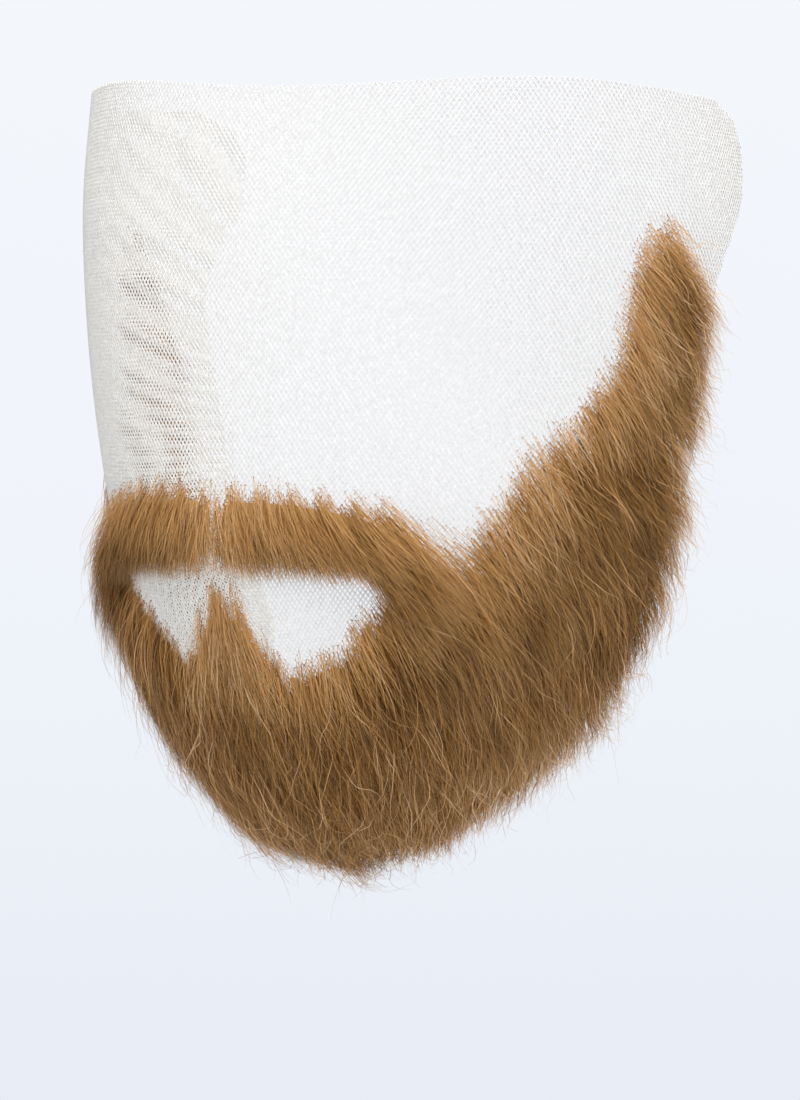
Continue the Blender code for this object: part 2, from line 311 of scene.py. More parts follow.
def colourRamp(tree, value, stops):
    node = put(tree, "ShaderNodeValToRGB", {"Fac": value})
    ramp = node.color_ramp
    while len(ramp.elements) < len(stops):
        ramp.elements.new(1.0)
    for element, (place, colour) in zip(ramp.elements, stops):
        element.position = place
        element.color = (*colour, 1.0)
    return node.outputs[0]


def mixColour(tree, share, first, second):
    node = put(tree, "ShaderNodeMix", {0: share}, data_type="RGBA")
    for index, value in ((6, first), (7, second)):
        if isinstance(value, bpy.types.NodeSocket):
            tree.links.new(value, node.inputs[index])
        else:
            node.inputs[index].default_value = (*value, 1.0)
    return node.outputs[2]


hairLook = {
    "shade": (0.060, 0.021, 0.003),
    "brown": (0.268, 0.112, 0.018),
    "golden": (0.540, 0.318, 0.142),
    "pale": (0.800, 0.620, 0.420),
    # tip: painted light, the glow of backlight through the thin ends of the hair
    "tip": (0.620, 0.400, 0.190),
    # root: painted light on the roots near a hairline, the light of a pale backing shining through the sparse
    # hair
    "root": (0.620, 0.335, 0.120),
    "knot": (0.310, 0.125, 0.038),
    "stops": (0.02, 0.38, 0.72, 1.0),  # tones at which a strand is shade, brown, golden and pale
    "underShadeStops": (0.28, 0.68, 1.0),  # the same for the undercoat, set later so that it is darker, as painted shade of the hair's depth, without pale
    "toneShare": 0.78,  # what a strand's own tone adds, then the soft patches and the painted light and shade
    "patchShare": 0.20,
    "paintedLightShare": 0.30,
    "streakPaintedLightShare": 0.50,
    "darken": 0.225,
    "tipLightShare": 0.40,
    "rootLightShare": 0.70,
    "patchSize": 0.016,
    "streakScale": 2400.0,
    "streakLength": 0.06,  # a streak's pace down the hair, as a share of its pace across
    "roughness": 0.50,
    "specular": 0.04,
}


def makeHairMaterial(name, brightness):
    # colour varies from strand to strand, in soft patches, and from root to tip, with painted light near the
    # hairlines and at the tips, painted light and shade at listed places, and painted shade on the undercoat
    material, tree, shader = newMaterial(name)

    def read(label):
        return put(tree, "ShaderNodeAttribute", attribute_name=label).outputs["Fac"]

    def shades(value, stops):
        return colourRamp(tree, value, [(stop, hairLook[shade]) for stop, shade
                in zip(hairLook[stops], ("shade", "brown", "golden", "pale"))])

    place = put(tree, "ShaderNodeTexCoord").outputs["Object"]
    patches = noise(tree, place, 1 / hairLook["patchSize"])
    value = plus(tree, times(tree, read("tone"), hairLook["toneShare"]),
            times(tree, patches, hairLook["patchShare"]),
            times(tree, read("paintedLight"), hairLook["paintedLightShare"]), brightness - hairLook["darken"])
    # painted light at the tips, the glow of backlight through the thin ends
    tipLight = times(tree, calc(tree, "POWER", read("along"), 3.0), hairLook["tipLightShare"])
    tip = mixColour(tree, tipLight, shades(value, "stops"), hairLook["tip"])
    # painted light at the roots near a hairline
    root = mixColour(tree, times(tree, read("edge"), hairLook["rootLightShare"]), tip, hairLook["root"])
    # below the strands the undercoat is darker, as painted shade of the hair's depth, with streaks that run
    # down it; painted light lifts it near a hairline
    lanes = combined(tree, read("across"), times(tree, read("down"), hairLook["streakLength"]))
    streaks = noise(tree, lanes, hairLook["streakScale"], 3.0)
    streaks = plus(tree, streaks, times(tree, read("paintedLight"), hairLook["streakPaintedLightShare"]))
    lower = mixColour(tree, read("under"), root, shades(streaks, "underShadeStops"))
    knot = mixColour(tree, read("knot"), lower, hairLook["knot"])
    tree.links.new(knot, shader.inputs["Base Color"])
    shader.inputs["Roughness"].default_value = hairLook["roughness"]
    shader.inputs["Specular IOR Level"].default_value = hairLook["specular"]
    return material


netLook = {
    "thread": (0.74, 0.715, 0.67),
    "pale": (0.85, 0.83, 0.79),
    "patchScale": 900.0,
    "twistScale": 6000.0,
    "twistDepth": 0.00005,
    "roughness": 0.72,
    "sheen": 0.15,
}


def makeNetMaterial():
    # off-white thread with a faint twist
    material, tree, shader = newMaterial("lace_thread")
    place = put(tree, "ShaderNodeTexCoord").outputs["Object"]
    patches = noise(tree, place, netLook["patchScale"])
    colour = colourRamp(tree, patches, ((0.35, netLook["thread"]), (0.65, netLook["pale"])))
    tree.links.new(colour, shader.inputs["Base Color"])
    twist = noise(tree, place, netLook["twistScale"])
    bump = made(tree, "ShaderNodeBump", {"Height": twist, "Strength": 0.3, "Distance": netLook["twistDepth"]})
    tree.links.new(bump, shader.inputs["Normal"])
    shader.inputs["Roughness"].default_value = netLook["roughness"]
    shader.inputs["Sheen Weight"].default_value = netLook["sheen"]
    return material


# Lace
laceSheet = {
    "grid": (90, 110),  # rows and columns of the sheet that the net is laid on
    "flatSize": (0.299, 0.232),  # around and down, along the form
    "fullTurn": 110.0,  # from the middle to the widest place of the rear edge
    "hem": 0.985,
    "lift": 0.0005,  # middle of the cloth's thickness
    "edgeWave": 0.0012,  # the cut top edge waves: height, waves in a full turn, first turn, fading
    "edgeWaves": 4,
    "edgeStart": 30,
    "edgeFade": 6,
    "cellTurn": 0.97,  # width of one mesh of the net, in degrees
    "cellsDown": 119,
    "threadRadius": 0.000180,
    "threadSides": 3,
    "threadPoints": 420,  # points along a thread while it is laid
    "threadStep": 0.0060,  # and the length of its faces
    "bakeShare": 0.99,
    "bakeRoom": 0.0006,
}
# down share, turn of the rear edge
laceEdge = ((0.000, 98.0), (0.022, 107.0), (0.060, 110.0), (0.115, 108.5), (0.150, 104.0), (0.200, 99.0),
        (0.640, 100.5), (0.800, 99.5), (0.900, 95.0), (0.960, 87.0), (1.000, 77.0))


def makeNetTree():
    # diagonal threads, laid out flat and then placed on the sheet through its flat map
    wide = 2 * laceSheet["fullTurn"]
    tree, given, out = newTree("net", {
        "Cell Width": laceSheet["cellTurn"] / wide,
        "Run": laceSheet["cellsDown"] * laceSheet["cellTurn"] / wide,
        "Thread Radius": laceSheet["threadRadius"], "Thread Step": laceSheet["threadStep"]})
    count = calc(tree, "CEIL", over(tree, plus(tree, given["Run"], 1.0), given["Cell Width"]))
    families = []
    for way in (1.0, -1.0):
        start = combined(tree, times(tree, given["Run"], -1.0) if way > 0 else 0.0)
        row = made(tree, "GeometryNodeMeshLine", {"Count": count, "Start Location": start,
                "Offset": combined(tree, given["Cell Width"])})
        end = combined(tree, times(tree, given["Run"], way), 1.0)
        thread = made(tree, "GeometryNodeCurvePrimitiveLine", {"End": end})
        thread = made(tree, "GeometryNodeResampleCurve",
                {"Curve": thread, "Count": laceSheet["threadPoints"]})
        families.append(copied(tree, row, thread))
    lines = made(tree, "GeometryNodeCurveToMesh", {"Curve": joined(tree, families)})
    place = made(tree, "GeometryNodeInputPosition")
    sample = put(tree, "GeometryNodeSampleUVSurface",
            {"Mesh": given["Geometry"], "Value": vectorField(tree, "place"),
            "UV Map": vectorField(tree, "flat"), "Sample UV": place}, data_type="FLOAT_VECTOR").outputs
    marked = store(tree, lines, "spot", place, "FLOAT_VECTOR")
    marked = store(tree, marked, "onSheet", sample["Is Valid"], "BOOLEAN")
    marked = store(tree, marked, "laid", sample[0], "FLOAT_VECTOR")
    inside = namedField(tree, "onSheet", "BOOLEAN")
    outside = made(tree, "FunctionNodeBooleanMath", {0: inside}, operation="NOT")
    kept = made(tree, "GeometryNodeDeleteGeometry", {"Geometry": marked, "Selection": outside})
    laid = made(tree, "GeometryNodeSetPosition", {"Geometry": kept, "Position": vectorField(tree, "laid")})
    threads = made(tree, "GeometryNodeMeshToCurve", {"Mesh": laid})
    threads = made(tree, "GeometryNodeResampleCurve", {"Curve": threads, "Length": given["Thread Step"]},
            mode="LENGTH")
    profile = made(tree, "GeometryNodeCurvePrimitiveCircle",
            {"Resolution": laceSheet["threadSides"], "Radius": given["Thread Radius"]})
    profile = store(tree, profile, "around", made(tree, "GeometryNodeInputIndex"))
    tubes = made(tree, "GeometryNodeCurveToMesh",
            {"Curve": threads, "Profile Curve": profile, "Fill Caps": True})
    # the bake map is the flat sheet, with a little room round each thread
    shift = combined(tree, times(tree, namedField(tree, "around"), laceSheet["bakeRoom"]))
    flat = vectorSum(tree, scaled(tree, vectorField(tree, "spot"), laceSheet["bakeShare"]), shift)
    tubes = store(tree, tubes, "OFBake", flat, "FLOAT2", "CORNER")
    return finishTree(tree, tubes, ("onSheet", "laid", "spot", "around"), given, out)


def makeLace(material):
    rows, columns = laceSheet["grid"]
    points, places = [], []
    for downShare in np.linspace(0, 1, rows):
        edgeTurn = readLine(laceEdge, downShare)
        turn = np.linspace(-edgeTurn, edgeTurn, columns)
        waveTurn = turn * laceSheet["edgeWaves"] + laceSheet["edgeStart"]
        fading = 1 - smooth(downShare * laceSheet["edgeFade"])
        wave = laceSheet["edgeWave"] * np.sin(np.radians(waveTurn)) * fading
        down = downShare * laceSheet["hem"] + wave / faceForm["height"]
        points += list(lifted(turn, down, np.full(columns, laceSheet["lift"])))
        places += [(t / (2 * laceSheet["fullTurn"]) + 0.5, downShare, 0.0) for t in turn]
    sheet = meshObject("lace_sheet", points, gridFaces(rows, columns))
    addLayers(sheet.data, {}, {"flat": places, "place": points})
    area = sum(p.area for p in sheet.data.polygons)
    net = grow("lace_net", sheet, makeNetTree(), {}, material)
    print("beard: lace area %.5f m2 of %.5f" % (area, math.prod(laceSheet["flatSize"])))
    return net, area


# Hair
# turn, down, lean in degrees away from straight down, length and depth in millimetres
guideHairs = np.array((
    (0, 0.415, 3, 14, 4.0), (0, 0.490, 4, 10, 4.0),
    (12, 0.412, 13, 15, 5.0), (12, 0.490, 13, 11, 5.0),
    (24, 0.420, 28, 17, 6.0), (24, 0.500, 27, 13, 6.0),
    (34, 0.435, 40, 22, 9.0), (36, 0.520, 44, 22, 10.5),
    (42, 0.470, 44, 24, 10.0), (44, 0.560, 42, 26, 9.5), (42, 0.650, 34, 26, 8.0), (42, 0.800, 15, 23, 7.0),
    (48, 0.490, 40, 24, 7.5), (55, 0.450, 32, 24, 6.0), (60, 0.550, 32, 26, 8.0), (60, 0.700, 26, 24, 8.5),
    (60, 0.850, 6, 17, 5.5), (66, 0.360, 34, 22, 4.0), (76, 0.450, 38, 24, 7.0), (80, 0.600, 32, 22, 8.0),
    (78, 0.780, 12, 20, 8.0), (90, 0.450, 44, 19, 8.0), (92, 0.600, 36, 20, 9.0), (90, 0.780, 18, 18, 8.0),
    (80, 0.140, 40, 14, 3.0), (78, 0.220, 40, 18, 4.5), (76, 0.300, 38, 20, 5.0), (88, 0.200, 46, 19, 7.0),
    (90, 0.330, 44, 16, 6.5), (93, 0.410, 44, 18, 9.5),
    (0, 0.530, 0, 14, 2.0), (8, 0.565, 16, 16, 3.0), (0, 0.600, 0, 18, 4.0),
    (10, 0.620, 8, 22, 5.0), (25, 0.610, 13, 22, 5.5), (34, 0.570, 26, 24, 7.5),
    (0, 0.720, 0, 26, 7.5), (20, 0.750, 9, 26, 8.0), (0, 0.880, 0, 24, 9.0), (14, 0.880, 4, 20, 7.5),
    (25, 0.880, 8, 19, 6.5), (50, 0.920, 0, 15, 5.0),
), float)
combing = {
    "turnReach": 12.0,  # how far a guide hair is felt, in turn and in down
    "downReach": 0.055,
    "softness": 0.08,
    "falloff": 1.5,
    "formPull": 0.35,  # how much the hair follows the form down, beside hanging straight
    "steps": 10,
    "lastDown": 0.998,
}


def readGuides(turn, down):
    # lean, length and depth at each place, by the nearness of the guide hairs
    turnGap = (np.abs(turn)[..., None] - guideHairs[:, 0]) / combing["turnReach"]
    downGap = (down[..., None] - guideHairs[:, 1]) / combing["downReach"]
    weight = 1 / (turnGap**2 + downGap**2 + combing["softness"]) ** combing["falloff"]
    weight /= weight.sum(-1, keepdims=True)
    lean, length, depth = np.moveaxis(weight @ guideHairs[:, 2:], -1, 0)
    return np.radians(lean), length / 1000, depth / 1000


def combDirection(turn, down, lean):
    # unit vector along the form: straight down, turned outwards by lean
    _, along, normal = formSteps(turn, down)
    fall = np.zeros_like(normal)
    fall[..., 2] = -1.0
    fall = unit(fall - normal * (fall * normal).sum(-1, keepdims=True) + unit(along) * combing["formPull"])
    fall = unit(fall - normal * (fall * normal).sum(-1, keepdims=True))
    outward = np.cross(fall, normal) * -np.sign(turn + 1e-6)[..., None]
    return fall * np.cos(lean)[..., None] + outward * np.sin(lean)[..., None]


def comb(turn, down, length):
    # follows the lie of the hair over the form and returns the path's turn, down and direction
    turns, downs, ways = [turn], [down], []
    for _ in range(combing["steps"]):
        across, along, _ = formSteps(turn, down)
        way = combDirection(turn, down, readGuides(turn, down)[0])
        ways.append(way)
        move = way * (length / combing["steps"])[..., None]
        # the move, solved for steps of turn and of down
        aa, bb, ab = ((across * across).sum(-1), (along * along).sum(-1), (across * along).sum(-1))
        ma, mb = (move * across).sum(-1), (move * along).sum(-1)
        det = aa * bb - ab * ab
        turn = turn + (ma * bb - mb * ab) / det
        down = np.minimum(down + (mb * aa - ma * ab) / det, combing["lastDown"])
        turns.append(turn)
        downs.append(down)
    ways.append(way)
    return np.array(turns), np.array(downs), np.array(ways)


hairSheet = {
    "rootLift": 0.0006,
    "rootAngle": 15.0,  # degrees between a hair and the lace where it leaves its knot
    "lowLay": 0.10,  # lift of the lowest hair's tip, as a share of the depth
    "hairlineRagged": 0.0042,
    "lipTurn": 29.0,  # up to this turn the lip line cuts the hair off, but never below the shortest length
    "shortest": 0.006,
    "frizzyDown": (0.56, 0.22),  # start and run of the frizz towards the hem, and towards the ears
    "frizzyTurn": (72.0, 18.0),
    "frizzySide": 0.6,
    "thinCover": 0.03,  # strands right at a hairline, as a share of the full number
    "ridgeCover": 0.45,  # extra strands where the undercoat begins: how many, place and width in fades
    "ridgePlace": 1.1,
    "ridgeWidth": 0.5,
    "edgeFades": 1.4,  # how far the painted light on the roots reaches, in fades
    "innerBand": 0.008,
    "toneStep": 3,  # the step of a hair's path whose place gives its tone
}
noBorder = 0.05
# across, along, start, size
rippleWaves = ((820, 0, 1.3, 0.5), (1900, 700, 4.1, 0.3), (3400, -1500, 0.0, 0.2))


def ripple(turn, down):
    # a smooth uneven value between -1 and 1, for hairlines
    x, y = turn * faceForm["turnMetres"], down * faceForm["downMetres"]
    return sum(np.sin(x * across + y * along + start) * size for across, along, start, size in rippleWaves)


def borderDistances(turn, down, borders):
    # metres from each free border: top, bottom, first side, last side
    acrossStep, alongStep, _ = formSteps(turn, down)
    alongMetres = np.linalg.norm(alongStep, axis=-1)
    acrossMetres = np.linalg.norm(acrossStep, axis=-1)
    distances = ((down - down[:1]) * alongMetres, (down[-1:] - down) * alongMetres,
            (turn - turn[:, :1]) * acrossMetres, (turn[:, -1:] - turn) * acrossMetres)
    return [np.where(np.broadcast_to(free, turn.shape) > 0, distance * np.maximum(free, 1), noBorder)
            for free, distance in zip(borders, distances)]


# Places where painted light and shade lighten or darken the hair, such as painted shade on the far side and
# under the soul patch and painted light near the hem: turn (above 0 on the left, +X), down, reach of both,
# tone
lightShadePlaces = (
    (49.0, 0.560, 9.0, 0.060, -0.24), (3.0, 0.625, 9.0, 0.040, -0.18), (-22.0, 0.500, 11.0, 0.060, -0.36),
    (80.0, 0.480, 11.0, 0.080, -0.05), (65.0, 0.360, 6.0, 0.035, 0.26), (62.0, 0.880, 20.0, 0.075, 0.44),
    (-28.0, 0.780, 14.0, 0.100, 0.12), (33.0, 0.650, 7.0, 0.045, -0.19), (-20.0, 0.580, 10.0, 0.045, -0.22),
)


def placeLightShade(turn, down, side):
    # painted light (above 0) and painted shade (below 0) from each place
    tone = 0.0
    for placeTurn, placeDown, reachTurn, reachDown, value in lightShadePlaces:
        gap = ((turn * side - placeTurn) / reachTurn) ** 2 + ((down - placeDown) / reachDown) ** 2
        tone = tone + value * np.exp(-gap)
    return tone / hairLook["paintedLightShare"]


def makeHairSheet(name, place, columns, rows, side, hairlines, fade, hairlineLight, lipLine=None):
    # the patch of lace that a section's hair is knotted to, with the shape of the hair at each place
    across, along = np.meshgrid(np.linspace(0, 1, columns), np.linspace(0, 1, rows))
    turn, down = place(across, along)
    lean, length, depth = readGuides(turn, down)
    acrossStep, alongStep, normal = formSteps(turn, down)
    if lipLine is not None:
        room = (readLine(lipLine, turn) - down) * np.linalg.norm(alongStep, axis=-1) / np.cos(lean)
        cut = np.minimum(length, np.maximum(room, hairSheet["shortest"]))
        length = np.where(np.abs(turn) < hairSheet["lipTurn"], cut, length)
    turns, downs, ways = comb(turn, down, length)
    tipNormal = formSteps(turns[-1], downs[-1])[2]
    root = lifted(turn, down, np.full(turn.shape, hairSheet["rootLift"]))
    tip = lifted(turns[-1], downs[-1], hairSheet["rootLift"] + depth * hairSheet["lowLay"])
    rise = math.radians(hairSheet["rootAngle"])
    firstWay = ways[0] * math.cos(rise) + normal * math.sin(rise)
    handle = (length / 3)[..., None]
    second = tip - unit(ways[-1]) * handle - root
    hairline = np.min(borderDistances(turn, down, hairlines), axis=0)
    ragged = hairline + hairSheet["hairlineRagged"] * ripple(turn, down) * (hairline < noBorder)
    (downStart, downRun), (turnStart, turnRun) = hairSheet["frizzyDown"], hairSheet["frizzyTurn"]
    frizzy = np.maximum(smooth((down - downStart) / downRun),
            hairSheet["frizzySide"] * smooth((np.abs(turn) - turnStart) / turnRun))
    ridge = np.exp(-(((hairline / fade - hairSheet["ridgePlace"]) / hairSheet["ridgeWidth"]) ** 2))
    cover = mix(hairSheet["thinCover"], 1, smooth(ragged / fade) ** 2.0) + hairSheet["ridgeCover"] * ridge
    # painted light: the hair is lighter near its hairline, less so at the ends of the moustache, and painted
    # light and shade are added at the listed places
    inner = smooth(across * 1.3) * smooth(hairline / hairSheet["innerBand"])
    lightBand, lightStart, lightEnd = hairlineLight
    toneStep = hairSheet["toneStep"]
    paintedLight = ((1 - smooth(hairline / lightBand)) * mix(lightStart, lightEnd, inner)
            + placeLightShade(turns[toneStep], downs[toneStep], side))
    flip = np.array((side, 1, 1))
    faces = gridFaces(rows, columns)
    if side < 0:
        faces = [face[::-1] for face in faces]
    sheet = meshObject(name + "_sheet", (root * flip).reshape(-1, 3), faces)
    addLayers(sheet.data, {
        "cover": cover, "frizzy": frizzy, "edge": 1 - smooth(hairline / (fade * hairSheet["edgeFades"])),
        "paintedLight": paintedLight, "depth": depth * (1 - hairSheet["lowLay"]),
        "acrossMetres": turn * faceForm["turnMetres"], "alongMetres": down * faceForm["downMetres"],
    }, {
        "first": firstWay * handle * flip, "second": second * flip, "third": (tip - root) * flip,
        "rootNormal": normal * flip, "tipNormal": tipNormal * flip, "acrossWay": unit(acrossStep) * flip,
    })
    return sheet


undercoat = {
    "underShare": 0.26,  # height, as a share of the hair's depth, and of that at a free border
    "edgeHeight": 0.10,
    "edgeBand": 0.008,
    "foot": 0.0001,  # lift of the lower side above the roots
    "leastHeight": 0.0002,
    "teeth": 0.38,  # unevenness of its edge from one lock to the next, and along a hairline's ripple
    "rippleShare": 0.22,
    "mostInset": 0.45,  # most that a border is drawn in, as a share of the section
    "leastWidth": 0.004,
    "leastInset": 0.0005,  # a border with less isn't free
    "bakeDown": (0.91, 0.99),  # its strip of the bake map, with the upper and lower sides side by side
    "bakeAcross": ((0.02, 0.48), (0.52, 0.98)),
}


def makeUndercoat(name, place, columns, rows, side, insets, lightBand):
    # the body of hair below the strands, darker as painted shade of the hair's depth: a closed cushion that
    # stays in from the free borders
    across, along = np.meshgrid(np.linspace(0, 1, columns), np.linspace(0, 1, rows))
    teeth = 1 + undercoat["teeth"] * np.random.default_rng(columns).uniform(-1, 1, max(columns, rows))
    most, least = undercoat["mostInset"], undercoat["leastWidth"]
    for _ in range(3):
        # the grid is drawn in from each free border by its inset
        turn, down = place(across, along)
        acrossStep, alongStep, _ = formSteps(turn, down)
        tall = (down[-1:] - down[:1]) * np.linalg.norm(alongStep, axis=-1).mean(0)
        wide = (turn[:, -1:] - turn[:, :1]) * np.linalg.norm(acrossStep, axis=-1).mean(1)[:, None]
        scaleDown = 1 / np.maximum(tall / np.ptp(along, axis=0), least)
        scaleAcross = 1 / np.maximum(wide / np.ptp(across, axis=1)[:, None], least)
        uneven = 1 + undercoat["rippleShare"] * ripple(turn, down)
        top, bottom = (np.clip(inset * scaleDown * uneven[row] * teeth[:columns], 0, most)
                for inset, row in zip(insets, (0, -1)))
        first, last = (
            np.clip(inset * scaleAcross * uneven[:, column:column + 1 or None] * teeth[:rows, None], 0, most)
            for inset, column in zip(insets[2:], (0, -1)))
        along = mix(top, 1 - bottom, np.linspace(0, 1, rows)[:, None])
        across = mix(first, 1 - last, np.linspace(0, 1, columns)[None, :])
    turn, down = place(across, along)
    depth = readGuides(turn, down)[2]
    free = [np.asarray(inset) > undercoat["leastInset"] for inset in insets]
    border = np.min(borderDistances(turn, down, free), axis=0)
    # painted light near a free border, and painted light and shade at the listed places
    paintedLight = 1 - smooth(border / lightBand) + placeLightShade(turn, down, side)
    fromEdge = mix(undercoat["edgeHeight"], 1, smooth(border / undercoat["edgeBand"]))
    height = depth * undercoat["underShare"] * fromEdge
    flip = np.array((side, 1, 1))
    upper = lifted(turn, down, hairSheet["rootLift"] + undercoat["leastHeight"] + height) * flip
    lower = lifted(turn, down, np.full(turn.shape, hairSheet["rootLift"] + undercoat["foot"])) * flip
    count = rows * columns
    top = gridFaces(rows, columns)
    rim = (list(range(columns)) + [r * columns + columns - 1 for r in range(1, rows)]
           + [(rows - 1) * columns + c for c in range(columns - 2, -1, -1)]
           + [r * columns for r in range(rows - 2, 0, -1)])
    faces = top + [tuple(i + count for i in face[::-1]) for face in top]
    faces += [(a, b, b + count, a + count) for a, b in zip(rim, rim[1:] + rim[:1])]
    if side < 0:
        faces = [face[::-1] for face in faces]
    points = np.concatenate((upper.reshape(-1, 3), lower.reshape(-1, 3)))
    coat = meshObject(name + "_undercoat", points, faces)
    layers = {"under": np.ones(count), "across": turn * faceForm["turnMetres"],
            "down": down * faceForm["downMetres"], "paintedLight": paintedLight}
    addLayers(coat.data, {label: np.stack((values, values)) for label, values in layers.items()}, {})
    bake = coat.data.uv_layers.new(name="OFBake")
    shareAcross, shareAlong = np.meshgrid(np.linspace(0, 1, columns), np.linspace(0, 1, rows))
    u = np.concatenate([mix(low, high, shareAcross.ravel()) for low, high in undercoat["bakeAcross"]])
    v = np.tile(mix(*undercoat["bakeDown"], shareAlong.ravel()), 2)
    corners = np.empty(len(coat.data.loops), np.int32)
    coat.data.loops.foreach_get("vertex_index", corners)
    bake.data.foreach_set("uv", np.stack((u[corners], v[corners]), -1).astype(np.float32).ravel())
    coat.hide_render = True
    return coat


# Three kinds of strand: the combed hair, the curls that lie across it, and the fly hairs that stand out.
# Strands are for each square metre of lace, lay is the height in the depth of the hair, and frizz is in
# metres. Each strand is flat, so that there can be many fine ones, and roll is how far it may turn from
# facing outwards. Map is the strip of the bake map.
strandKinds = {
    "Combed": {"Strands": 2.72e6, "Segments": 5, "Radius": 0.000077, "Lay Low": 0.25, "Lay High": 1.0,
        "Frizz": 0.0056, "Fan": 0.26, "Reach": 0.50, "Twist": 2.4, "Roll": 0.9, "Tone Low": 0.0,
        "Tone High": 1.0, "Map Low": 0.0, "Map High": 0.76},
    "Curl": {"Strands": 0.110e6, "Segments": 12, "Radius": 0.000084, "Lay Low": 0.90, "Lay High": 1.20,
        "Frizz": 0.0140, "Fan": 0.50, "Reach": 0.8, "Twist": 2.6, "Roll": 1.8, "Tone Low": 0.9,
        "Tone High": 1.4, "Map Low": 0.76, "Map High": 0.84},
    "Fly": {"Strands": 0.070e6, "Segments": 11, "Radius": 0.000050, "Lay Low": 0.9, "Lay High": 1.5,
        "Frizz": 0.0130, "Fan": 0.5, "Reach": 0.7, "Twist": 1.9, "Roll": 2.5, "Tone Low": 0.6,
        "Tone High": 1.3, "Map Low": 0.84, "Map High": 0.90},
}
hairInputs = {
    "Seed": 1,
    "Lock Size": 0.0050,
    "Lock Draw": 0.16,
    "Lock Lift": 0.30,
    "Wave": 0.0085,
    "Wave Size": 0.016,
    "Knot Radius": 0.00018,
}

strandShape = {
    "calmCurls": 0.25,  # share of the curls that also grow where the hair isn't frizzy
    "girths": (0.7, 1.2),
    "lockLength": 0.4,  # a lock's pace down the hair, as a share of its pace across
    "lockMiddle": 0.6,
    "lockTone": 0.20,
    "rise": 2.2,  # how early a hair reaches its height
    "waveTwist": 1.3,
    "frizzSeeds": {"tone": 53.0, "swing": 31.0, "stray": 37.0},
    "frizzRise": 1.3,
    "strayShare": 0.07,  # strays have more frizz by this much
    "strayFrizz": 1.1,
    "calmFrizz": 0.6,  # frizz everywhere, and more of it in the frizzy places
    "moreFrizz": 0.9,
    "taper": 0.82,
    "thinEdge": 0.25,
    "mapShape": 3.0,  # columns for each row of the bake map
    "mapRim": 0.1,
    "knotEdge": 0.5,  # how near a hairline a knot shows
    "knotSides": 4,
    "knotRings": 2,
    "knotMap": 8.0,
    "knotSpot": (0.985, 0.985, 0.0),
}


